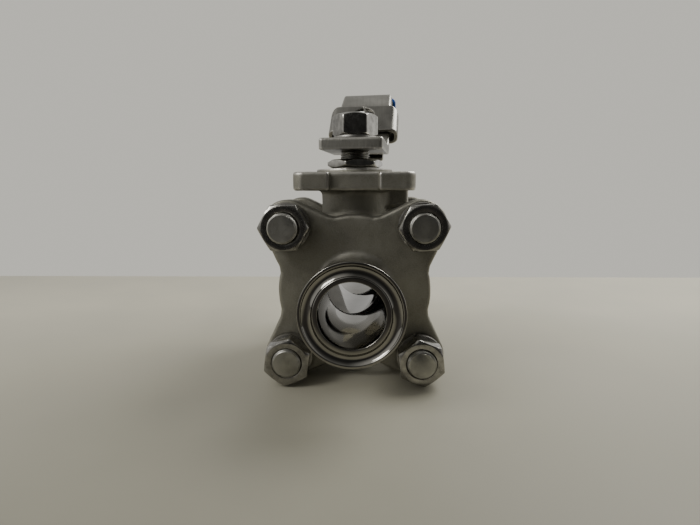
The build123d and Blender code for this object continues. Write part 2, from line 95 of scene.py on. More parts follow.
# Clamping flanges. The cast skin swells by CAST_SWELL, so the ears are drawn smaller by it
BOLT_HALF = 37.0
CAST_SWELL = 0.13
EAR_R = EAR_REACH - BOLT_HALF - CAST_SWELL
FLANGE_DISC_R = 43.0
FLANGE_INNER_Y = 21.8
WAIST_ANGLE = math.radians(16.5)
ROOT_FILLET = 5.4
REGISTER_R = 33.9
SEAT_POCKET_R, SEAT_POCKET_Y = 27.0, 27.0
SPOT_FACE_R, SPOT_FACE_DEPTH = 13.7, 0.25

# Valve body
BARREL_R = 40.5
NECK_R = 20.5
PAD_HALF, PAD_CORNER, PAD_T = 34.0, 6.0, 10.3
NOTCH_DEPTH, NOTCH_HALF = 3.0, 13.8
RIB_END_X, RIB_HALF_W, RIB_BOTTOM = 32.0, 9.0, 46.5
BOSS_R, BOSS_TRACK_R = 23.5, 17.6
POCKET_RADIUS, POCKET_HALF_X, POCKET_HALF_Y, POCKET_FLOOR = 23.7, 3.9, 4.3, 61.5
PAD_BOLT, PAD_BOLT_R = 24.75, 4.5
CAVITY_R, REGISTER_BORE_R, REGISTER_DEPTH = 30.3, 34.0, 4.0
STEM_BORE_R, COLLAR_BORE_R, COLLAR_BORE_TOP = 9.05, 13.3, 36.8
PACKING_BORE_R, PACKING_FLOOR = 13.5, 47.0

# Bolting: corners as seen from the front, then each stud's shift and each nut's turn
CORNERS = [(-1, 1), (1, 1), (-1, -1), (1, -1)]
STUD_SHIFTS = {(-1, 1): -2.0, (1, 1): 0.0, (-1, -1): 0.4, (1, -1): -0.4}
NUT_TURNS = {(-1, 1): 0, (1, 1): 4, (-1, -1): 22, (1, -1): 38}
STUD_R, STUD_END_Y = 8.0, 51.0
STUD_PITCH, STUD_CHAMFER, STUD_THREAD = 2.0, 1.0, 20.0
NUT_AF, PACKING_NUT_AF = 24.0, 30.0
WASHER_R = 12.9

# Ball and stem
BALL_R = 28.7
SLOT_HALF, SLOT_FLOOR = 5.15, 21.0
STEM_R, STEM_END_R, STEM_FLAT_HALF, STEM_PITCH = 9.0, 8.0, 6.2, 1.5
TANG_R, TANG_HALF, TANG_TOP = 12.6, 5.0, 31.0
COLLAR_R, COLLAR_TOP = 12.95, 35.0
RING_GROOVE_R, RING_GROOVE = 7.4, (39.9, 42.1)
STEM_THREAD_LOW = 66.0

# Lever, grip, lock slide, rivet and stop pin
HANDLE_TURN = math.radians(-6.5)
RISE, SLOPE = math.radians(50), math.radians(34)
LEVER_T = 6.5
HUB_TOP = LEVER_SEAT_Z + LEVER_T
RISER_FOOT, BEND_Z, BEND_R = 30.0, 116.0, 7.25
LEVER_FRONT, LEVER_END, SLEEVE_START = -21.0, 190.0, 98.0
LEVER_STATIONS, LEVER_HALVES = [RISER_FOOT, SLEEVE_START, LEVER_END], [18.5, 16.8, 14.8]
LOCK_HOLE_R, LOCK_HOLE_U = 7.0, 17.0
GRIP_OVER, GRIP_HALF_T, GRIP_BEAD = 2.5, 5.4, 0.4
SLIDE_HALF_W, SLIDE_WALL, SLIDE_LOW, SLIDE_TOP = 24.0, 2.6, 10.5, 34.5
SLIDE_BACK, SLIDE_OUTER_R, SLIDE_SHOULDER_R, SEAM_HALF_W = 9.9, 5.4, 7.0, 0.6
SLIDE_HOLE_R, SLIDE_HOLE_U = 7.2, 25.0
RIVET_R, RIVET_U, RIVET_HEAD_R, RIVET_HEAD_LOW = 2.4, 5.5, 4.75, -10.3
STOP_RADIUS, STOP_ANGLE = 20.7, math.radians(112)
STOP_SPOT = (STOP_RADIUS * math.cos(STOP_ANGLE), STOP_RADIUS * math.sin(STOP_ANGLE))
STOP_HOLE_R, PIN_R = 2.5, 2.48


# ---------------------------------------------------------------- shapes as distance fields

def slab(values, low, high):
    return np.maximum(low - values, values - high)


def both(a, b, edge):
    """Where two fields overlap, with the edge between them rounded."""
    corner = np.hypot(np.maximum(a + edge, 0), np.maximum(b + edge, 0))
    return np.minimum(-edge, np.maximum(a, b)) + corner


def either(a, b, fillet):
    """Two fields joined, with a fillet in the corner between them."""
    corner = np.hypot(np.maximum(fillet - a, 0), np.maximum(fillet - b, 0))
    return np.maximum(fillet, np.minimum(a, b)) - corner


def without(a, b, edge=0.6):
    return both(a, -b, edge)


def rectangle(x, y, half_x, half_y, corner=0.0):
    dx, dy = np.abs(x) - half_x + corner, np.abs(y) - half_y + corner
    return np.hypot(np.maximum(dx, 0), np.maximum(dy, 0)) + np.minimum(np.maximum(dx, dy), 0) - corner


def line_distance(x, y, line):
    """Distance to an open line of straight pieces."""
    nearest = np.full(x.shape, np.inf)
    for (ax, ay), (bx, by) in zip(line, line[1:]):
        ex, ey = bx - ax, by - ay
        t = np.clip(((x - ax) * ex + (y - ay) * ey) / (ex * ex + ey * ey), 0, 1)
        nearest = np.minimum(nearest, np.hypot(x - ax - t * ex, y - ay - t * ey))
    return nearest


def polygon(x, y, corners):
    """Signed distance to a closed outline of straight edges."""
    closed = corners + corners[:1]
    inside = np.zeros(x.shape, bool)
    for (ax, ay), (bx, by) in zip(closed, closed[1:]):
        crosses = (ay > y) != (by > y)
        inside ^= crosses & (x < ax + (y - ay) * (bx - ax) / (by - ay if by != ay else 1))
    nearest = line_distance(x, y, closed)
    return np.where(inside, -nearest, nearest)


def gradient(field, points, step=0.02):
    slope = np.empty_like(points)
    for i in range(3):
        shift = np.zeros(3)
        shift[i] = step
        slope[:, i] = (field(points + shift) - field(points - shift)) / (2 * step)
    return slope


def settle(field, points):
    """Moves points along the field's slope onto its zero level."""
    slope = gradient(field, points)
    steep = np.maximum((slope * slope).sum(1), 0.1)
    return points - np.clip(field(points) / steep, -1, 1)[:, None] * slope


def relaxed(points, faces):
    """Each point at the middle of its neighbours."""
    total, count = np.zeros_like(points), np.zeros(len(points))
    for k in range(4):
        here, there = faces[:, k], faces[:, (k + 1) % 4]
        count += np.bincount(here, minlength=len(points))
        for i in range(3):
            total[:, i] += np.bincount(here, weights=points[there, i], minlength=len(points))
    return total / np.maximum(count, 1)[:, None]


def skin(field, low, high, cell, passes=3):
    """Even quads over the surface where a field is zero, inside the box low to high."""
    low = np.array(low, float)
    counts = np.ceil((np.array(high) - low) / cell).astype(int) + 1
    steps = [low[i] + cell * np.arange(counts[i]) for i in range(3)]
    grid = np.stack(np.meshgrid(*steps, indexing="ij"), -1).reshape(-1, 3)
    value = field(grid).reshape(counts)
    cells = counts - 1
    total, hits = np.zeros((*cells, 3)), np.zeros(cells)
    for axis in range(3):
        i, j = (axis + 1) % 3, (axis + 2) % 3
        for a in (0, 1):
            for b in (0, 1):
                start = [slice(0, n) for n in cells]
                start[i], start[j] = slice(a, cells[i] + a), slice(b, cells[j] + b)
                stop = list(start)
                stop[axis] = slice(1, cells[axis] + 1)
                near, far = value[tuple(start)], value[tuple(stop)]
                crossed = (near < 0) != (far < 0)
                total[..., axis] += np.where(crossed, near / np.where(crossed, near - far, 1), 0)
                total[..., i] += a * crossed
                total[..., j] += b * crossed
                hits += crossed
    used = hits > 0
    index = np.full(cells, -1)
    index[used] = np.arange(used.sum())
    points = low + cell * (np.argwhere(used) + total[used] / hits[used][:, None])
    faces = []
    for axis in range(3):
        i, j = (axis + 1) % 3, (axis + 2) % 3
        near, far = [slice(None)] * 3, [slice(None)] * 3
        near[axis], far[axis] = slice(0, cells[axis]), slice(1, cells[axis] + 1)
        for k in (i, j):
            near[k] = far[k] = slice(1, cells[k])
        near, far = value[tuple(near)] < 0, value[tuple(far)] < 0
        spot = np.argwhere(near != far)
        outward = near[near != far]
        spot[:, [i, j]] += 1
        ei, ej = np.eye(3, dtype=int)[i], np.eye(3, dtype=int)[j]
        ring = [spot - ei - ej, spot - ej, spot, spot - ei]
        quad = np.stack([index[tuple(c.T)] for c in ring], 1)
        faces.append(np.where(outward[:, None], quad, quad[:, ::-1]))
    faces = np.concatenate(faces)
    for _ in range(passes):
        points = settle(field, relaxed(points, faces))
    return settle(field, points), faces


def uneven(points, normals, seed, waves):
    """Moves points in and out by smooth noise: waves is a list of (wavelength, height)."""
    push = np.zeros(len(points))
    for wavelength, height in waves:
        shift = Vector((seed, seed * 1.7, seed * 2.3))
        push += height * np.array([noise.noise(Vector(p / wavelength) + shift) for p in points])
    return points + normals * push[:, None]


# ---------------------------------------------------------------- meshes

def make_piece(name, points, faces, body, slot, material, replaces=(), place=None, sharp=38):
    """A mesh object from points in millimetres, riding on a CAD body."""
    points = np.asarray(points, float)
    if place is not None:
        points = place(points)
    mesh = bpy.data.meshes.new(name)
    mesh.from_pydata((points * MM).tolist(), [], [list(map(int, f)) for f in faces])
    mesh.validate()
    mesh.update()
    mesh.shade_smooth()
    mesh.set_sharp_from_angle(angle=math.radians(sharp))
    piece = bpy.data.objects.new(name, mesh)
    bpy.context.scene.collection.objects.link(piece)
    mesh.materials.append(material)
    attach(piece, body)
    if replaces:
        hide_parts(*replaces)
    return piece


def cast_piece(name, field, low, high, cell, seed, waves, **facts):
    points, faces = skin(field, low, high, cell)
    slope = gradient(field, points)
    normals = slope / np.linalg.norm(slope, axis=1)[:, None]
    if waves:
        points = uneven(points, normals, seed, waves)
    return make_piece(name, points, faces, **facts)


def softened(profile, radius, steps=3):
    """A closed outline with each corner turned into a small arc."""
    out = []
    count = len(profile)
    for k in range(count):
        before, here, after = (np.array(profile[(k + d) % count], float) for d in (-1, 0, 1))
        a, b = before - here, after - here
        la, lb = np.linalg.norm(a), np.linalg.norm(b)
        cut = min(radius, 0.45 * la, 0.45 * lb)
        start, end = here + a / la * cut, here + b / lb * cut
        for s in range(steps + 1):
            t = s / steps
            out.append(tuple((1 - t) ** 2 * start + 2 * t * (1 - t) * here + t * t * end))
    return out


def turned_faces(rings, around, closed=True):
    faces = []
    for k in range(rings):
        for j in range(around if closed else around - 1):
            a, b = k * around + j, k * around + (j + 1) % around
            c, d = ((k + 1) % rings) * around + (j + 1) % around, ((k + 1) % rings) * around + j
            faces.append((a, b, c, d))
    return faces


def turned(profile, around=128):
    """A ring turned about Z from a closed outline of (radius, height), anticlockwise."""
    angles = 2 * np.pi * np.arange(around) / around
    points = [(r * math.cos(t), r * math.sin(t), h) for r, h in profile for t in angles]
    return np.array(points), turned_faces(len(profile), around)


def rod(radius_at, heights, around=64):
    """A closed rod along Z. radius_at(angles, height) gives each ring's radii."""
    angles = 2 * np.pi * np.arange(around) / around
    points = []
    for height in heights:
        radii = radius_at(angles, height)
        points += [(r * math.cos(t), r * math.sin(t), height) for r, t in zip(radii, angles)]
    rings = len(heights)
    faces = turned_faces(rings, around)[:(rings - 1) * around]
    faces.append(tuple(range(around))[::-1])
    faces.append(tuple((rings - 1) * around + j for j in range(around)))
    return np.array(points), faces


def joined(parts):
    """Several (points, faces) as one."""
    points, faces, base = [], [], 0
    for p, f in parts:
        points.append(p)
        faces += [tuple(int(i) + base for i in face) for face in f]
        base += len(p)
    return np.concatenate(points), faces


def turn_z(points, angle):
    c, s = math.cos(angle), math.sin(angle)
    return points @ np.array([[c, s, 0], [-s, c, 0], [0, 0, 1]])


def along_y(points, side):
    """Stands a Z piece on the pipe axis, pointing to the front (side -1) or the rear (+1)."""
    x, y, z = points.T
    return np.stack([-side * x, side * z, y], 1)


# ---------------------------------------------------------------- materials

class Paint:
    """A node tree round one Principled shader, with short calls for the usual nodes."""

    def __init__(self, name, **settings):
        self.material = bpy.data.materials.new(name)
        self.material.use_nodes = True
        self.tree = self.material.node_tree
        self.shader = self.tree.nodes["Principled BSDF"]
        for key, value in settings.items():
            self.shader.inputs[key.replace("_", " ")].default_value = value
        self.place = self.add("ShaderNodeTexCoord").outputs["Object"]

    def add(self, kind, **settings):
        node = self.tree.nodes.new(kind)
        for key, value in settings.items():
            setattr(node, key, value)
        return node

    def feed(self, socket, value):
        if isinstance(value, bpy.types.NodeSocket):
            self.tree.links.new(value, socket)
        elif isinstance(value, tuple) and len(value) == 3 and socket.type == "RGBA":
            socket.default_value = (*value, 1)
        else:
            socket.default_value = value

    def set(self, **sockets):
        for key, value in sockets.items():
            self.feed(self.shader.inputs[key.replace("_", " ")], value)

    def math(self, operation, a, b=0.0):
        node = self.add("ShaderNodeMath", operation=operation)
        self.feed(node.inputs[0], a)
        self.feed(node.inputs[1], b)
        return node.outputs[0]

    def noise(self, size_mm, detail=3.0, roughness=0.55, place=None):
        node = self.add("ShaderNodeTexNoise")
        self.feed(node.inputs["Vector"], place or self.place)
        node.inputs["Scale"].default_value = 1 / (size_mm * MM)
        node.inputs["Detail"].default_value = detail
        node.inputs["Roughness"].default_value = roughness
        return node.outputs["Fac"]

    def cells(self, size_mm):
        node = self.add("ShaderNodeTexVoronoi")
        self.feed(node.inputs["Vector"], self.place)
        node.inputs["Scale"].default_value = 1 / (size_mm * MM)
        return node.outputs["Distance"]

    def ramp(self, value, low, high, first=0.0, last=1.0):
        node = self.add("ShaderNodeMapRange")
        node.inputs["From Min"].default_value = low
        node.inputs["From Max"].default_value = high
        node.inputs["To Min"].default_value = first
        node.inputs["To Max"].default_value = last
        self.feed(node.inputs["Value"], value)
        return node.outputs[0]

    def mix(self, share, first, second):
        node = self.add("ShaderNodeMix", data_type="RGBA")
        self.feed(node.inputs[0], share)
        self.feed(node.inputs[6], first)
        self.feed(node.inputs[7], second)
        return node.outputs[2]

    def blend(self, share, first, second):
        node = self.add("ShaderNodeMix", data_type="FLOAT")
        self.feed(node.inputs[0], share)
        self.feed(node.inputs[2], first)
        self.feed(node.inputs[3], second)
        return node.outputs[0]

    def stretched(self, x, y, z, turn=0.0):
        node = self.add("ShaderNodeMapping")
        self.feed(node.inputs["Vector"], self.place)
        node.inputs["Scale"].default_value = (x, y, z)
        node.inputs["Rotation"].default_value = (0, 0, turn)
        return node.outputs[0]

    def parts(self):
        node = self.add("ShaderNodeSeparateXYZ")
        self.feed(node.inputs[0], self.place)
        return node.outputs

    def radius(self, a, b):
        return self.math("SQRT", self.math("ADD", self.math("MULTIPLY", a, a), self.math("MULTIPLY", b, b)))

    def convex(self, low, high):
        node = self.add("ShaderNodeNewGeometry")
        return self.ramp(node.outputs["Pointiness"], low, high)

    def cut_edge(self):
        """1 on the lever's upright front and side faces, 0 on its flat and bent faces."""
        node = self.add("ShaderNodeNewGeometry")
        facing = self.add("ShaderNodeVectorMath", operation="DOT_PRODUCT")
        self.feed(facing.inputs[0], node.outputs["Normal"])
        facing.inputs[1].default_value = (-math.sin(HANDLE_TURN), math.cos(HANDLE_TURN), 0)
        across = self.add("ShaderNodeVectorMath", operation="DOT_PRODUCT")
        self.feed(across.inputs[0], node.outputs["Normal"])
        across.inputs[1].default_value = (math.cos(HANDLE_TURN), math.sin(HANDLE_TURN), 0)
        squared = [self.math("MULTIPLY", n.outputs["Value"], n.outputs["Value"]) for n in (facing, across)]
        return self.ramp(self.math("MAXIMUM", *squared), 0.72, 0.82)

    def bump(self, height, depth_mm, below=None):
        node = self.add("ShaderNodeBump")
        node.inputs["Distance"].default_value = depth_mm * MM
        self.feed(node.inputs["Height"], height)
        if below is not None:
            self.feed(node.inputs["Normal"], below)
        return node.outputs[0]


def cast_steel():
    """Blasted investment casting: warm grey, finely grained, rubbed bright on its edges."""
    p = Paint("cast_steel", Metallic=1.0)
    broad = p.noise(14, 4)
    grain = p.noise(0.55, 2, 0.6)
    fine = p.noise(0.22, 1, 0.5)
    pits = p.ramp(p.cells(1.3), 0.0, 0.28)
    edge = p.convex(0.505, 0.56)
    base = p.mix(p.ramp(broad, 0.3, 0.7), (0.235, 0.226, 0.19), (0.33, 0.32, 0.273))
    base = p.mix(p.ramp(grain, 0.35, 0.7, 0, 0.45), base, (0.40, 0.39, 0.343))
    base = p.mix(edge, base, (0.68, 0.66, 0.61))
    p.set(Base_Color=base)
    rough = p.blend(edge, p.ramp(broad, 0.3, 0.7, 0.5, 0.6), 0.28)
    p.set(Roughness=rough)
    lumps = p.bump(p.noise(2.4, 2), 0.10)
    grained = p.bump(p.math("ADD", grain, p.math("MULTIPLY", fine, 0.5)), 0.09, lumps)
    p.set(Normal=p.bump(pits, 0.05, grained))
    return p.material


def turned_steel(name, axis, low, high, base):
    """Turned and polished steel with fine rings round its axis ("Y" or "Z")."""
    p = Paint(name, Metallic=1.0)
    x, y, z = p.parts()
    a, b, c = (x, z, y) if axis == "Y" else (x, y, z)
    radius = p.radius(a, b)
    rings = p.add("ShaderNodeCombineXYZ")
    p.feed(rings.inputs[0], radius)
    p.feed(rings.inputs[1], c)
    tool = p.noise(0.16, 2, 0.5, rings.outputs[0])
    wide = p.noise(1.1, 2, 0.5, rings.outputs[0])
    smear = p.noise(9, 3)
    scratch = p.ramp(p.noise(0.5, 2, 0.5, p.stretched(1, 0.12, 0.12, 0.6)), 0.62, 0.7)
    p.set(Base_Color=p.mix(p.ramp(smear, 0.35, 0.7), base, tuple(0.8 * v for v in base)))
    rough = p.math("ADD", p.ramp(wide, 0.3, 0.7, low, high), p.ramp(smear, 0.4, 0.7, 0, 0.3 * low))
    p.set(Roughness=p.math("ADD", rough, p.math("MULTIPLY", scratch, 0.5 * high)))
    ringed = p.bump(p.math("ADD", tool, p.math("MULTIPLY", wide, 1.5)), 0.03 * high)
    p.set(Normal=p.bump(scratch, -0.004, ringed))
    return p.material


def fastener_steel(name, base, low, high, grain_mm=0.5):
    """Rolled and cold-formed steel: semi-bright, lightly scratched, with scattered dark spots."""
    p = Paint(name, Metallic=1.0)
    smear = p.noise(4.5, 4, 0.6)
    grain = p.noise(grain_mm, 3, 0.6)
    edge = p.convex(0.51, 0.58)
    scratch = p.ramp(p.noise(0.35, 2, 0.5, p.stretched(1, 0.1, 0.4, 0.8)), 0.6, 0.68)
    spots = p.ramp(p.cells(2.2), 0.0, 0.16, 1, 0)
    colour = p.mix(p.ramp(smear, 0.36, 0.64), base, tuple(0.58 * v for v in base))
    colour = p.mix(p.math("MULTIPLY", spots, 0.5), colour, tuple(0.4 * v for v in base))
    p.set(Base_Color=p.mix(edge, colour, tuple(min(1, 1.35 * v) for v in base)))
    rough = p.math("ADD", p.ramp(smear, 0.3, 0.75, low, high), p.math("MULTIPLY", scratch, 0.1))
    p.set(Roughness=rough)
    worn = p.bump(grain, 0.06 * grain_mm**2)
    p.set(Normal=p.bump(scratch, -0.012, worn))
    return p.material


def sheet_steel(name, low, high, dark, light):
    """Pickled plate: satin, streaked along the lever, with torn shear marks on its dull cut edges."""
    p = Paint(name, Metallic=1.0)
    smear = p.noise(11, 4, 0.6)
    streak = p.noise(0.9, 3, 0.6, p.stretched(1, 0.05, 0.05, -HANDLE_TURN))
    grain = p.noise(0.35, 2, 0.6)
    edge = p.convex(0.51, 0.58)
    scratch = p.ramp(p.noise(0.6, 2, 0.5, p.stretched(0.15, 1, 0.3, 0.5)), 0.63, 0.7)
    colour = p.mix(p.ramp(smear, 0.3, 0.7), dark, light)
    colour = p.mix(p.ramp(streak, 0.45, 0.75, 0, 0.5), colour, tuple(0.8 * v for v in dark))
    cut = p.cut_edge()
    colour = p.mix(p.math("MULTIPLY", cut, 0.6), colour, tuple(0.5 * v for v in dark))
    p.set(Base_Color=p.mix(edge, colour, tuple(1.35 * v for v in light)))
    torn = p.noise(0.9, 3, 0.65, p.stretched(1, 1, 0.2))
    rough = p.math("ADD", p.ramp(smear, 0.3, 0.7, low, high), p.math("MULTIPLY", scratch, 0.12))
    p.set(Roughness=p.math("ADD", rough, p.math("MULTIPLY", cut, 0.15)))
    worn = p.bump(p.math("ADD", grain, p.math("MULTIPLY", streak, 1.2)), 0.018)
    p.set(Normal=p.bump(p.math("MULTIPLY", torn, cut), 0.16, p.bump(scratch, -0.012, worn)))
    return p.material


def ball_steel():
    """Ground and mirror-polished, with a faint haze from the seats."""
    p = Paint("ball_steel", Metallic=1.0)
    haze = p.noise(6, 3)
    lines = p.noise(0.25, 2, 0.5, p.stretched(1, 0.08, 1))
    p.set(Base_Color=p.mix(p.ramp(haze, 0.3, 0.7), (0.46, 0.455, 0.44), (0.41, 0.405, 0.39)))
    p.set(Roughness=p.math("ADD", p.ramp(haze, 0.35, 0.7, 0.02, 0.06), p.ramp(lines, 0.5, 0.8, 0, 0.03)))
    p.set(Normal=p.bump(lines, 0.002))
    return p.material


def ptfe():
    """Skived PTFE: milky, waxy and faintly mottled."""
    p = Paint("ptfe", Subsurface_Weight=0.15, Subsurface_Scale=0.002)
    cloud = p.noise(3.5, 3)
    tool = p.noise(0.3, 2)
    p.set(Base_Color=p.mix(p.ramp(cloud, 0.3, 0.7), (0.80, 0.80, 0.77), (0.70, 0.695, 0.66)))
    p.set(Roughness=p.ramp(cloud, 0.3, 0.7, 0.34, 0.46), Normal=p.bump(tool, 0.012))
    return p.material


def seal_rubber():
    p = Paint("seal_rubber")
    bloom = p.noise(2.5, 3)
    skin_grain = p.noise(0.2, 2)
    p.set(Base_Color=p.mix(p.ramp(bloom, 0.35, 0.7), (0.018, 0.018, 0.019), (0.04, 0.04, 0.042)))
    p.set(Roughness=p.ramp(bloom, 0.3, 0.7, 0.5, 0.68), Normal=p.bump(skin_grain, 0.01))
    return p.material


def blue_vinyl():
    """Dipped vinyl: deep blue, orange-peel surface, scuffed paler on its edges."""
    p = Paint("blue_vinyl", Specular_IOR_Level=0.5)
    cloud = p.noise(16, 3)
    peel = p.noise(1.5, 2, 0.45)
    fine = p.noise(0.3, 2)
    edge = p.convex(0.505, 0.56)
    scuff = p.ramp(p.noise(2.2, 4, 0.7, p.stretched(1, 0.35, 1, -HANDLE_TURN)), 0.6, 0.75)
    colour = p.mix(p.ramp(cloud, 0.3, 0.7), (0.006, 0.055, 0.30), (0.012, 0.085, 0.40))
    colour = p.mix(p.math("MULTIPLY", edge, 0.35), colour, (0.06, 0.18, 0.52))
    p.set(Base_Color=p.mix(p.math("MULTIPLY", scuff, 0.3), colour, (0.07, 0.16, 0.42)))
    p.set(Roughness=p.math("ADD", p.ramp(cloud, 0.3, 0.7, 0.30, 0.40), p.math("MULTIPLY", scuff, 0.18)))
    p.set(Normal=p.bump(fine, 0.008, p.bump(peel, 0.07)))
    return p.material


CAST = cast_steel()
PIPE_TURNED = turned_steel("pipe_turned_steel", "Y", 0.04, 0.08, (0.34, 0.33, 0.30))
STEM_TURNED = turned_steel("stem_turned_steel", "Z", 0.22, 0.34, (0.34, 0.335, 0.31))
NUT_STEEL = fastener_steel("nut_steel", (0.42, 0.41, 0.38), 0.13, 0.25)
BRIGHT_NUT_STEEL = fastener_steel("bright_nut_steel", (0.52, 0.51, 0.475), 0.06, 0.13)
STUD_STEEL = fastener_steel("stud_steel", (0.36, 0.355, 0.325), 0.32, 0.5, 1.1)
SPRING_STEEL = fastener_steel("spring_steel", (0.36, 0.35, 0.325), 0.3, 0.45)
SHEET = sheet_steel("lever_sheet_steel", 0.30, 0.42, (0.33, 0.323, 0.29), (0.43, 0.42, 0.385))
# The lock slide's sheet steel is a darker copy of the lever's: painted shade, for its face that looks darker
# than the lever's slope.
SHADED_SLIDE_SHEET = sheet_steel("slide_sheet_steel_painted_shade", 0.26, 0.38, (0.22, 0.215, 0.195), (0.30, 0.293, 0.268))
BALL_STEEL = ball_steel()
PTFE = ptfe()
RUBBER = seal_rubber()
VINYL = blue_vinyl()


# ---------------------------------------------------------------- end caps

def tangent_point(point, centre, radius, hand):
    reach = math.dist(point, centre)
    heading = math.atan2(centre[1] - point[1], centre[0] - point[0]) + hand * math.asin(radius / reach)
    run = math.sqrt(reach**2 - radius**2)
    return (point[0] + run * math.cos(heading), point[1] + run * math.sin(heading))


def flange_outline(x, z):
    """Signed distance to the four-eared outline; one quarter stands for all."""
    x, z = np.abs(x), np.abs(z)
    low = (FLANGE_DISC_R * math.cos(WAIST_ANGLE), FLANGE_DISC_R * math.sin(WAIST_ANGLE))
    high = low[::-1]
    centre = (BOLT_HALF, BOLT_HALF)
    low_touch, high_touch = tangent_point(low, centre, EAR_R, -1), tangent_point(high, centre, EAR_R, 1)
    web = polygon(x, z, [(0, 0), low, low_touch, centre, high_touch, high])
    ear = np.hypot(x - BOLT_HALF, z - BOLT_HALF) - EAR_R
    return either(np.hypot(x, z) - FLANGE_DISC_R, np.minimum(web, ear), 2.2)


def end_cap_casting(p):
    """Flange, hub tube with a flared root, and register. Here +Y points out along the pipe."""
    x, y, z = p.T
    radius = np.hypot(x, z)
    plate = both(flange_outline(x, z), slab(y, FLANGE_INNER_Y, FLANGE_OUTER_Y), 1.9)
    tube = np.maximum(radius - TUBE_R, slab(y, 24, END_Y - 7.5))
    flare = np.clip((FLANGE_OUTER_Y + 6.0 - y) / 6.3, 0, 0.97)
    flared_r = TUBE_R + ROOT_FILLET * (1 - np.sqrt(1 - flare**2))
    root = np.maximum(radius - flared_r, slab(y, 24, FLANGE_OUTER_Y + 7))
    solid = either(plate, np.minimum(tube, 0.7 * root), 0.5)
    solid = np.minimum(solid, np.maximum(radius - REGISTER_R, slab(y, REGISTER_END_Y, FLANGE_INNER_Y + 3)))
    solid = without(solid, radius - LINER_R, 0.5)
    solid = without(solid, np.maximum(radius - SEAT_POCKET_R, y - SEAT_POCKET_Y), 0.5)
    bolt = np.hypot(np.abs(x) - BOLT_HALF, np.abs(z) - BOLT_HALF)
    spot_face = np.maximum(bolt - SPOT_FACE_R, FLANGE_OUTER_Y - SPOT_FACE_DEPTH - y)
    return without(without(solid, spot_face, 0.15), bolt - STUD_R - 0.5, 0.7)


def ferrule_outline():
    """Clamp ferrule with its gasket groove, and the bored liner behind it: (radius, distance out)."""
    rim = END_Y - FERRULE_RIM_T
    slope = (FERRULE_R - TUBE_R - FERRULE_ROOT_R) * math.tan(math.radians(20))
    start = END_Y - FERRULE_LENGTH
    outline = [(BORE_R, LINER_END_Y), (LINER_R, LINER_END_Y), (LINER_R, start), (TUBE_R, start),
               (TUBE_R, rim - slope - FERRULE_ROOT_R), (TUBE_R + FERRULE_ROOT_R, rim - slope),
               (FERRULE_R, rim), (FERRULE_R, END_Y)]
    for step in range(13):
        share = step / 12
        hollow = GROOVE_DEPTH * math.sin(math.pi * share) ** 0.7
        outline.append((GROOVE_OUTER_R - GROOVE_W * share, END_Y - hollow))
    return outline + [(BORE_R, END_Y)]


for side, end in ((-1, "front"), (1, "rear")):
    def face_out(points, side=side):
        return points * np.array([-side, side, 1])
    cast_piece(f"{end}_cap_casting", end_cap_casting, (-53, 16.8, -53), (53, END_Y - 6, 53), 0.8, 3.1 + side,
               [(9, 0.16), (3.2, 0.07)], place=face_out, body="valve", slot="cast_steel", material=CAST,
               replaces=(f"{end}_end_cap",))
    ferrule = turned(softened(ferrule_outline(), 0.4, 4), 192)
    make_piece(f"{end}_ferrule", *ferrule, place=lambda q, side=side: along_y(q, side), body="valve",
               slot="cast_steel", material=PIPE_TURNED)


# ---------------------------------------------------------------- valve body

def valve_body(p):
    """Barrel, neck, notched pad with its rib and boss, lock pockets and stuffing box."""
    x, y, z = p.T
    pipe_r, stem_r = np.hypot(x, z), np.hypot(x, y)
    barrel = both(pipe_r - BARREL_R, np.abs(y) - BODY_HALF, 1.2)
    neck = np.maximum(stem_r - NECK_R, slab(z, 0, 60))
    pad = rectangle(x, y, PAD_HALF, PAD_HALF, PAD_CORNER)
    for a, b in ((x, y), (y, x)):
        pad = without(pad, rectangle(np.abs(a) - PAD_HALF, b, NOTCH_DEPTH, NOTCH_HALF, 0.5), 0.9)
    plate = both(pad, slab(z, PAD_TOP - PAD_T, PAD_TOP), 1.5)
    rib_half = RIB_END_X / 2
    rib = both(rectangle(x - rib_half, y, rib_half, RIB_HALF_W, 2), slab(z, RIB_BOTTOM, 60), 1.5)
    solid = either(either(barrel, neck, 5), either(plate, rib, 1.2), 3.0)
    # The boss is a disc with a sector cut back, which leaves a shoulder for the stop pin at each end
    angle = np.degrees(np.arctan2(y, x))
    shoulder = stem_r * np.sin(np.radians(np.clip(np.abs(angle - 67) - 52.6, -90, 90)))
    raised = np.maximum(stem_r - BOSS_R, np.minimum(-shoulder, stem_r - BOSS_TRACK_R))
    solid = np.minimum(solid, both(raised, slab(z, 60, BOSS_TOP), 0.6))
    # Lock pockets, swept over the lever's play at the open and the closed end
    for swing in (0, -3.25, -6.5):
        for closed in (0, -90):
            t = math.radians(swing + closed)
            u, v = x * math.cos(t) + y * math.sin(t), -x * math.sin(t) + y * math.cos(t)
            pocket = rectangle(u, v - POCKET_RADIUS, POCKET_HALF_X, POCKET_HALF_Y, 0.3)
            solid = without(solid, np.maximum(pocket, POCKET_FLOOR - z), 0.4)
    solid = without(solid, np.hypot(np.abs(x) - PAD_BOLT, np.abs(y) - PAD_BOLT) - PAD_BOLT_R, 0.6)
    solid = without(solid, pipe_r - CAVITY_R, 0.6)
    solid = without(solid, np.maximum(pipe_r - REGISTER_BORE_R, BODY_HALF - REGISTER_DEPTH - np.abs(y)), 0.6)
    solid = without(solid, np.maximum(stem_r - COLLAR_BORE_R, slab(z, 0, COLLAR_BORE_TOP)), 0.4)
    solid = without(solid, np.maximum(stem_r - STEM_BORE_R, -z), 0.3)
    return without(solid, np.maximum(stem_r - PACKING_BORE_R, PACKING_FLOOR - z), 0.5)


cast_piece("valve_body_casting", valve_body, (-42, -35, -42), (42, 35, BOSS_TOP + 1), 0.75, 8.4,
           [(9, 0.15), (3.0, 0.06)], body="valve", slot="cast_steel", material=CAST, replaces=("valve_body",))


# ---------------------------------------------------------------- bolting

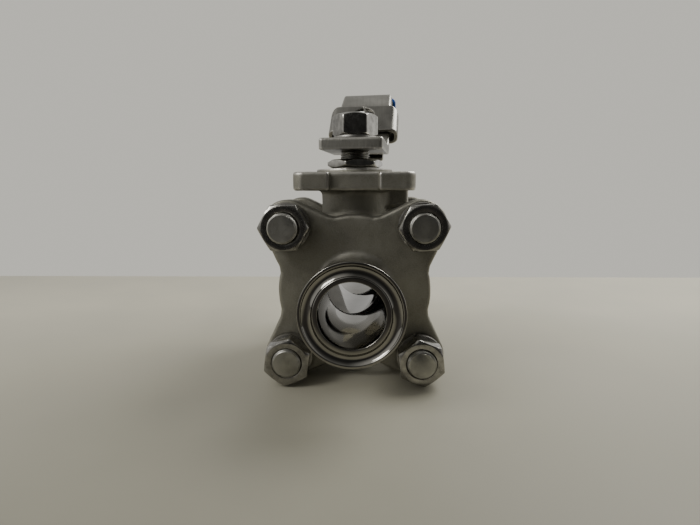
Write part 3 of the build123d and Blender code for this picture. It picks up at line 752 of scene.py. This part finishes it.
def hexagon(across_flats, height, hole_r):
    """Hexagon nut on XY, chamfered at both ends and countersunk, corners on the X axis."""
    corner_r, chamfer = across_flats / math.sqrt(3) * 0.985, math.radians(30)
    angles = []
    for k in range(6):
        for t in (-30, -29.3, -28.2, -26, -22, -17, -11, -4, 4, 11, 17, 22, 26, 28.2, 29.3):
            angles.append(math.radians(60 * k + 30 + t))
    reach = []
    for t in angles:
        local = t % math.radians(60) - math.radians(30)
        reach.append(min(across_flats / 2 / math.cos(local), corner_r))
    face_r = 0.955 * across_flats / 2
    points, around = [], len(angles)

    def drop(r):
        return max(0.0, r - face_r) * math.tan(chamfer)

    rows = []
    for r, h in ((hole_r, 1.0), (hole_r + 0.9, 0.08), (hole_r + 1.1, 0.0), (face_r - 0.15, 0.0)):
        rows.append([(r, h)] * around)
    for share in (0.03, 0.5, 0.93):
        rows.append([(face_r + (r - face_r) * share, drop(face_r + (r - face_r) * share)) for r in reach])
    rows.append([(r - 0.05, drop(r) + 0.05) for r in reach])
    rows.append([(r, drop(r) + 0.22) for r in reach])
    upper = [[(r, height - h) for r, h in row] for row in reversed(rows)]
    for row in rows + upper:
        points += [(r * math.cos(t), r * math.sin(t), h) for (r, h), t in zip(row, angles)]
    faces = turned_faces(2 * len(rows), around)
    return np.array(points), [f[::-1] for f in faces]


def split_washer(inner_r, outer_r, height, gap=7.0, rise=0.35):
    """Spring lock washer, its cut ends a little out of line."""
    around = 110
    top = height - rise
    section = softened([(inner_r, 0), (outer_r, 0), (outer_r, top), (inner_r, top)], 0.35, 2)
    points = []
    for k in range(around):
        share = k / (around - 1)
        for r, h in section:
            skew = 9 * (h / height - 0.5)
            t = math.radians(gap / 2 + skew + share * (360 - gap))
            points.append((r * math.cos(t), r * math.sin(t), h + rise * share))
    count = len(section)
    faces = []
    for k in range(around - 1):
        for j in range(count):
            a, b = k * count + j, k * count + (j + 1) % count
            faces.append((a, a + count, b + count, b))
    faces.append(tuple(range(count)))
    faces.append(tuple((around - 1) * count + j for j in range(count))[::-1])
    return np.array(points), faces


def threaded(major_r, pitch, spans, low, high, chamfer, flat_half=None, seat=None):
    """Radii for rod(): a rounded thread in the given height spans, a plain shank between."""
    depth = 0.58 * pitch

    def radius_at(angles, height):
        phase = (height / pitch - angles / (2 * np.pi)) % 1
        tooth = np.clip(1.6 * np.abs(2 * phase - 1) - 0.3, 0, 1)
        cut = np.zeros(len(angles))
        for start, stop in spans:
            fade = min(max((height - start) / pitch, 0), max((stop - height) / pitch, 0), 1)
            cut = cut + depth * fade * (1 - tooth)
        radii = major_r - 0.05 - cut
        radii = np.minimum(radii, major_r - chamfer + min(height - low, high - height))
        if flat_half is not None and height > seat:
            radii = np.minimum(radii, flat_half / np.maximum(np.abs(np.cos(angles - HANDLE_TURN)), 1e-3))
        return radii
    return radius_at


studs = []
for corner, shift in STUD_SHIFTS.items():
    centre = np.array([corner[0] * BOLT_HALF, corner[1] * BOLT_HALF])
    low, high = -STUD_END_Y + shift, STUD_END_Y + shift
    shank = high - low - 2 * STUD_THREAD
    heights = [low + 0.2 * k for k in range(100)]
    heights += [low + STUD_THREAD + shank * k / 8 for k in range(9)]
    heights += [high - STUD_THREAD + 0.2 * k for k in range(1, 100)] + [high]
    spans = [(low - 2, low + STUD_THREAD - 1), (high - STUD_THREAD + 1, high + 2)]
    shape = threaded(STUD_R, STUD_PITCH, spans, low, high, STUD_CHAMFER)
    points, faces = rod(shape, heights, 56)
    x, y, z = points.T
    studs.append((np.stack([centre[0] + x, z, centre[1] - y], 1), faces))
make_piece("through_stud_set", *joined(studs), body="valve", slot="fastener_steel", material=STUD_STEEL,
           replaces=("through_studs",))

for side, end in ((-1, "front"), (1, "rear")):
    nuts, washers = [], []
    for corner in CORNERS:
        # A front corner seen from outside is mirrored at the rear
        centre = np.array([-side * corner[0] * BOLT_HALF, 0, corner[1] * BOLT_HALF])
        angle = math.radians(NUT_TURNS[corner])
        points, faces = hexagon(NUT_AF, NUT_OUTER_Y - NUT_INNER_Y, STUD_R - 0.4)
        nuts.append((along_y(turn_z(points, angle) + [0, 0, NUT_INNER_Y], side) + centre, faces))
        points, faces = split_washer(STUD_R + 0.3, WASHER_R, NUT_INNER_Y - FLANGE_OUTER_Y)
        spin = math.radians(20 + 140 * corner[0] + 60 * corner[1])
        washers.append((along_y(turn_z(points, spin) + [0, 0, FLANGE_OUTER_Y], side) + centre, faces))
    make_piece(f"{end}_nut_set", *joined(nuts), body="valve", slot="fastener_steel", material=NUT_STEEL,
               replaces=(f"{end}_nuts",))
    make_piece(f"{end}_washer_set", *joined(washers), body="valve", slot="fastener_steel",
               material=SPRING_STEEL, replaces=(f"{end}_spring_washers",))


# ---------------------------------------------------------------- ball and stem stack

def turn_handle(points):
    """From the lever's own frame to where it stands at rest."""
    return turn_z(points, HANDLE_TURN)


def ball_shape(p):
    x, y, z = p.T
    bored = without(np.linalg.norm(p, axis=1) - BALL_R, np.hypot(x, z) - BORE_R, 0.6)
    return without(bored, np.maximum(np.abs(y) - SLOT_HALF, SLOT_FLOOR - z), 0.4)


cast_piece("ball_polished", ball_shape, (-30, -30, -30), (30, 30, 30), 0.7, 0, (), place=turn_handle,
           body="ball", slot="ball_steel", material=BALL_STEEL, replaces=("ball",))

STEM_SHANK = threaded(STEM_R, STEM_PITCH, [(STEM_THREAD_LOW, LEVER_SEAT_Z + 2)], 20, LEVER_SEAT_Z, 0.6)
STEM_END = threaded(STEM_END_R, STEM_PITCH, [(HUB_TOP, STEM_TOP + 2)], LEVER_SEAT_Z, STEM_TOP, 0.8,
                    STEM_FLAT_HALF, LEVER_SEAT_Z)


def stem_radius(angles, height):
    """Tang in the ball's slot, collar, shank with an O-ring groove, then the threads."""
    if height <= TANG_TOP:
        return np.minimum(TANG_R, TANG_HALF / np.maximum(np.abs(np.sin(angles - HANDLE_TURN)), 1e-3))
    if height <= COLLAR_TOP:
        return np.full(len(angles), COLLAR_R)
    if RING_GROOVE[0] < height < RING_GROOVE[1]:
        return np.full(len(angles), RING_GROOVE_R)
    return STEM_SHANK(angles, height) if height <= LEVER_SEAT_Z else STEM_END(angles, height)


stem_heights = [21.6, 22.0]
for step_z in (TANG_TOP, COLLAR_TOP, *RING_GROOVE):
    stem_heights += [step_z - 0.02, step_z + 0.02]
stem_heights += [50.0, 58.0, STEM_THREAD_LOW - 0.2]
stem_heights += list(np.arange(STEM_THREAD_LOW, LEVER_SEAT_Z - 0.1, 0.17))
stem_heights += [LEVER_SEAT_Z, LEVER_SEAT_Z + 0.03]
stem_heights += list(np.arange(LEVER_SEAT_Z + 0.5, STEM_TOP - 0.1, 0.17)) + [STEM_TOP]
make_piece("stem_turned", *rod(stem_radius, stem_heights, 72), body="stem_and_lever", slot="fastener_steel",
           material=STEM_TURNED, replaces=("stem",))

for name, node, across, hole_r, angle in (("packing_nut_hexagon", "packing_nut", PACKING_NUT_AF, 8.6, 12),
                                          ("stem_nut_hexagon", "stem_nut", NUT_AF, 7.6, 0)):
    low, high = box_mm(node)
    points, faces = hexagon(across, high[2] - low[2], hole_r)
    make_piece(name, turn_z(points, math.radians(angle)) + [0, 0, low[2]], faces, body="stem_and_lever",
               slot="fastener_steel", material=BRIGHT_NUT_STEEL, replaces=(node,))
points, faces = split_washer(8.2, 13.2, box_mm("stem_nut")[0][2] - HUB_TOP, 5.0, 0.1)
make_piece("stem_washer_split", turn_z(points, math.radians(150)) + [0, 0, HUB_TOP], faces,
           body="stem_and_lever", slot="fastener_steel", material=SPRING_STEEL,
           replaces=("stem_spring_washer",))


# ---------------------------------------------------------------- lever

def bent_line():
    """The lever strip's middle line in side view: hub, riser, slope and grip, with curved bends."""
    bend_y = RISER_FOOT + (BEND_Z - HUB_TOP) / math.tan(RISE)
    crest_y = bend_y + (LEVER_TOP - BEND_Z) / math.tan(SLOPE)
    top = [(LEVER_FRONT - 9, HUB_TOP), (RISER_FOOT, HUB_TOP), (bend_y, BEND_Z), (crest_y, LEVER_TOP),
           (LEVER_END + 9, LEVER_TOP)]
    headings = [0, RISE, SLOPE, 0]
    line = [(top[0][0], top[0][1] - LEVER_T / 2)]
    for (y, z), before, after in zip(top[1:4], headings, headings[1:]):
        tilt, half = (before + after) / 2, (after - before) / 2
        reach = LEVER_T / 2 / math.cos(half)
        corner = (y + reach * math.sin(tilt), z - reach * math.cos(tilt))
        run = BEND_R * abs(math.tan(half))
        start = (corner[0] - run * math.cos(before), corner[1] - run * math.sin(before))
        end = (corner[0] + run * math.cos(after), corner[1] + run * math.sin(after))
        for k in range(7):
            t = k / 6
            line.append(tuple((1 - t) ** 2 * a + 2 * t * (1 - t) * b + t * t * c
                              for a, b, c in zip(start, corner, end)))
    return line + [(top[4][0], top[4][1] - LEVER_T / 2)]


LEVER_LINE = bent_line()


def lever_shape(p):
    """The bent strip in its own frame, its upper edges rolled over as a shear leaves them."""
    x, y, z = p.T
    strip = line_distance(y, z, LEVER_LINE) - LEVER_T / 2
    side = np.abs(x) - np.interp(y, LEVER_STATIONS, LEVER_HALVES)
    ends = slab(y, LEVER_FRONT, LEVER_END)
    plan = np.where(y > 90, both(side, ends, 11.0), both(side, ends, 2.0))
    upper = z > np.interp(y, [q[0] for q in LEVER_LINE], [q[1] for q in LEVER_LINE])
    solid = both(strip, plan, np.where(upper, 1.3, 0.45))
    u = (y - RISER_FOOT) * math.cos(RISE) + (z - HUB_TOP) * math.sin(RISE)
    solid = without(solid, np.hypot(x, u - LOCK_HOLE_U) - LOCK_HOLE_R, 0.5)
    solid = without(solid, np.hypot(x, u - RIVET_U) - RIVET_R, 0.2)
    double_d = np.maximum(np.hypot(x, y) - STEM_END_R - 0.1, np.abs(x) - STEM_FLAT_HALF - 0.15)
    pin_hole = np.hypot(x - STOP_SPOT[0], y - STOP_SPOT[1]) - STOP_HOLE_R
    return without(solid, np.maximum(np.minimum(double_d, pin_hole), z - 95), 0.3)


cast_piece("lever_bar", lever_shape, (-20, LEVER_FRONT - 1.5, LEVER_SEAT_Z - 1.5),
           (20, LEVER_END + 1.5, LEVER_TOP + 1.5), 0.7, 5.2, [(26, 0.10)], place=turn_handle,
           body="stem_and_lever", slot="lever_steel", material=SHEET, replaces=("lever",))


def sleeve_shape(p):
    """Dipped grip with a soft bead at its mouth, hollowed by the lever."""
    x, y, z = p.T
    bead = GRIP_BEAD * np.exp(-((y - SLEEVE_START - 1.6) / 1.5) ** 2)
    side = np.abs(x) - np.interp(y, [SLEEVE_START, LEVER_END], [19.05, 17.1]) - bead
    plan = both(side, y - LEVER_END - GRIP_OVER, 13.0)
    block = both(plan, np.abs(z - LEVER_TOP + LEVER_T / 2) - GRIP_HALF_T - bead, 4.2)
    return without(both(block, SLEEVE_START - y, 0.9), lever_shape(p), 0.3)


cast_piece("vinyl_grip", sleeve_shape, (-21, SLEEVE_START - 1.5, 115), (21, 194, 130), 0.85, 9.3,
           [(17, 0.16), (5, 0.04)], place=turn_handle, body="stem_and_lever", slot="blue_vinyl",
           material=VINYL, replaces=("grip_sleeve",))


# ---------------------------------------------------------------- lock slide, rivet and stop pin

def from_riser(points):
    """From the riser's frame: x across, y up its face, z out of its front."""
    x, u, v = points.T
    y = RISER_FOOT + u * math.cos(RISE) - v * math.sin(RISE)
    z = HUB_TOP + u * math.sin(RISE) + v * math.cos(RISE)
    return turn_handle(np.stack([x, y, z], 1))


def slide_shape(p):
    """A sleeve folded round the riser, its two lips meeting at a seam in front, with tongue and nib below."""
    x, u, v = p.T
    middle = v + LEVER_T / 2
    half_t = LEVER_T / 2 + 0.8 + SLIDE_WALL
    outer = rectangle(x, middle, SLIDE_HALF_W, half_t, SLIDE_OUTER_R)
    inner = rectangle(x, middle, SLIDE_HALF_W - SLIDE_WALL, half_t - SLIDE_WALL, SLIDE_OUTER_R - SLIDE_WALL)
    section = without(outer, inner, 0.35)
    section = without(section, np.maximum(np.abs(x) - SEAM_HALF_W, -middle), 0.7)
    sleeve = both(section, slab(u, SLIDE_LOW, SLIDE_TOP), 0.7)
    tongue = np.minimum(rectangle(x, u - 3.6, 14.5, 8.9, 1.0), rectangle(x, u + 0.85, 3.5, 13.35, 0.6))
    solid = np.minimum(sleeve, both(tongue, slab(v, -SLIDE_BACK, SLIDE_WALL - SLIDE_BACK), 0.4))
    solid = both(solid, both(np.abs(x) - SLIDE_HALF_W, u - SLIDE_TOP, SLIDE_SHOULDER_R), 0.5)
    solid = without(solid, np.hypot(x, u - SLIDE_HOLE_U) - SLIDE_HOLE_R, 0.6)
    return without(solid, np.hypot(x, u - np.clip(u, RIVET_U, RIVET_U + 8)) - RIVET_R - 0.2, 0.4)


cast_piece("lock_slide_pressing", slide_shape, (-25, -15.5, -11), (25, 35.7, 4.5), 0.5, 2.7, [(11, 0.1)],
           place=from_riser, body="lock", slot="lever_steel", material=SHADED_SLIDE_SHEET, replaces=("lock_slide",))


def rivet_radius(angles, height):
    """A domed head behind the slide, then a plain shank through the lever."""
    if height < RIVET_HEAD_LOW:
        dome = max(0.04, 1 - ((RIVET_HEAD_LOW - height) / 1.62) ** 2)
        return np.full(len(angles), RIVET_HEAD_R * math.sqrt(dome))
    return np.full(len(angles), min(RIVET_R, RIVET_R - 0.4 - height))


rivet_heights = [-11.9, -11.8, -11.6, -11.3, -10.9, -10.5, -10.32, -10.29, -6.0, -0.5, -0.3, -0.1]
points, faces = rod(rivet_radius, rivet_heights, 40)
make_piece("slide_rivet", points + [0, RIVET_U, 0], faces, place=from_riser, body="stem_and_lever",
           slot="fastener_steel", material=STUD_STEEL, replaces=("lock_rivet",))


PIN_LOW = box_mm("stop_pin")[0][2]


def pin_radius(angles, height):
    return np.full(len(angles), min(PIN_R, 2.0 + min(height - PIN_LOW, HUB_TOP - height)))


pin_heights = [PIN_LOW, PIN_LOW + 0.25, PIN_LOW + 0.5, 74.0, HUB_TOP - 0.5, HUB_TOP - 0.25, HUB_TOP - 0.02]
points, faces = rod(pin_radius, pin_heights, 40)
make_piece("stop_pin_turned", points + [*STOP_SPOT, 0], faces, place=turn_handle, body="stem_and_lever",
           slot="fastener_steel", material=STUD_STEEL, replaces=("stop_pin",))


# ---------------------------------------------------------------- stand, light and camera

def stage_plane():
    low, high = cad_box
    floor_z = low[2] / MM
    half, back = 700.0, 266.0
    points = [(-half, -half, floor_z), (half, -half, floor_z), (half, back, floor_z), (-half, back, floor_z)]
    mesh = bpy.data.meshes.new("table_top")
    mesh.from_pydata([[c * MM for c in q] for q in points], [], [(0, 1, 2, 3)])
    table = bpy.data.objects.new("table_top", mesh)
    bpy.context.scene.collection.objects.link(table)
    p = Paint("table_top", Specular_IOR_Level=0.3)
    cloud = p.noise(60, 3)
    paint = p.mix(p.ramp(cloud, 0.3, 0.7), (0.60, 0.575, 0.465), (0.64, 0.61, 0.495))
    # Painted shade: the table is painted darker towards the camera as a painted shadow, and painted near
    # black past -150 mm, where only the polished ferrule mirrors it, standing in for the dark room by the
    # camera.
    far = p.ramp(p.parts()[1], -0.15, 0.12)
    paint = p.mix(far, p.mix(0.62, paint, (0.12, 0.117, 0.09)), paint)
    p.set(Base_Color=p.mix(p.ramp(p.parts()[1], -0.24, -0.15), (0.06, 0.055, 0.05), paint))
    p.set(Roughness=p.ramp(cloud, 0.3, 0.7, 0.45, 0.55))
    mesh.materials.append(p.material)


def area_light(name, place, target, size, power, colour=(1, 1, 1)):
    light = bpy.data.lights.new(name, "AREA")
    light.shape, light.size, light.energy, light.color = "SQUARE", size, power, colour
    lamp = bpy.data.objects.new(name, light)
    bpy.context.scene.collection.objects.link(lamp)
    lamp.location = place
    lamp.rotation_euler = (Vector(target) - Vector(place)).to_track_quat("-Z", "Y").to_euler()


def room_light():
    """A pale room: bright behind the valve, to the right and at the upper left, dim by the camera."""
    world = bpy.data.worlds.new("room")
    bpy.context.scene.world = world
    world.use_nodes = True
    tree = world.node_tree
    tree.nodes.clear()
    new, link = tree.nodes.new, tree.links.new
    place = new("ShaderNodeTexCoord")

    def toward(direction, low, high, first, last):
        dot = new("ShaderNodeVectorMath")
        dot.operation = "DOT_PRODUCT"
        dot.inputs[1].default_value = Vector(direction).normalized()
        link(place.outputs["Generated"], dot.inputs[0])
        span = new("ShaderNodeMapRange")
        span.interpolation_type = "SMOOTHSTEP"
        for key, value in (("From Min", low), ("From Max", high), ("To Min", first), ("To Max", last)):
            span.inputs[key].default_value = value
        link(dot.outputs["Value"], span.inputs["Value"])
        return span.outputs[0]

    def total(a, b):
        add = new("ShaderNodeMath")
        add.operation = "ADD"
        link(a, add.inputs[0])
        link(b, add.inputs[1])
        return add.outputs[0]

    behind = toward((0, 1, 0.3), -0.2, 0.9, 0.12, 0.45)
    upper_left = toward((-0.8, -0.3, 0.5), 0.5, 0.97, 0.0, 0.5)
    right = toward((1, 0.5, 0.1), 0.4, 0.95, 0.0, 0.45)
    camera_side = toward((0, -1, 0.02), 0.45, 0.92, 0.0, -0.09)
    strength = total(total(total(behind, upper_left), right), camera_side)
    lit, seen, out = new("ShaderNodeBackground"), new("ShaderNodeBackground"), new("ShaderNodeOutputWorld")
    lit.inputs["Color"].default_value = (1.0, 0.985, 0.95, 1)
    link(strength, lit.inputs["Strength"])
    seen.inputs["Color"].default_value = (0.62, 0.605, 0.545, 1)
    path, choose = new("ShaderNodeLightPath"), new("ShaderNodeMixShader")
    link(path.outputs["Is Camera Ray"], choose.inputs[0])
    link(lit.outputs[0], choose.inputs[1])
    link(seen.outputs[0], choose.inputs[2])
    link(choose.outputs[0], out.inputs["Surface"])


def camera():
    """At the viewing angle: just right of the pipe axis, a little above, looking slightly down."""
    place = Vector((5.93, -282.0, 58.01)) * MM
    yaw, pitch, roll = math.radians(-1.91), math.radians(9.48), math.radians(-0.23)
    ahead = Vector((math.sin(yaw) * math.cos(pitch), math.cos(yaw) * math.cos(pitch), -math.sin(pitch)))
    right = Vector((math.cos(yaw), -math.sin(yaw), 0))
    above = right.cross(ahead)
    right, above = (right * math.cos(roll) + above * math.sin(roll),
                    above * math.cos(roll) - right * math.sin(roll))
    data = bpy.data.cameras.new("camera")
    data.sensor_width, data.lens = 36.0, 23.16
    data.clip_start = 0.01
    eye = bpy.data.objects.new("camera", data)
    bpy.context.scene.collection.objects.link(eye)
    turn = Matrix((right, above, -ahead)).transposed()
    eye.matrix_world = Matrix.Translation(place) @ turn.to_4x4()
    bpy.context.scene.camera = eye


stage_plane()
room_light()
area_light("window_right", (0.55, 0.35, 0.75), (0, 0.02, 0), 0.5, 6.5, (1.0, 0.99, 0.96))
area_light("window_left", (-0.45, -0.30, 0.42), (0, 0, 0), 0.25, 1.5, (1.0, 0.985, 0.95))
camera()

SHARED_LOOKS = {
    "front_seat": PTFE, "rear_seat": PTFE, "front_body_gasket": PTFE, "rear_body_gasket": PTFE,
    "stem_o_ring": RUBBER, "stem_thrust_washer": PTFE, "packing_rings": PTFE, "gland_ring": STEM_TURNED,
    "disc_springs": SPRING_STEEL,
}
for node, material in SHARED_LOOKS.items():
    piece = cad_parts[node]
    piece.data.materials.clear()
    piece.data.materials.append(material)
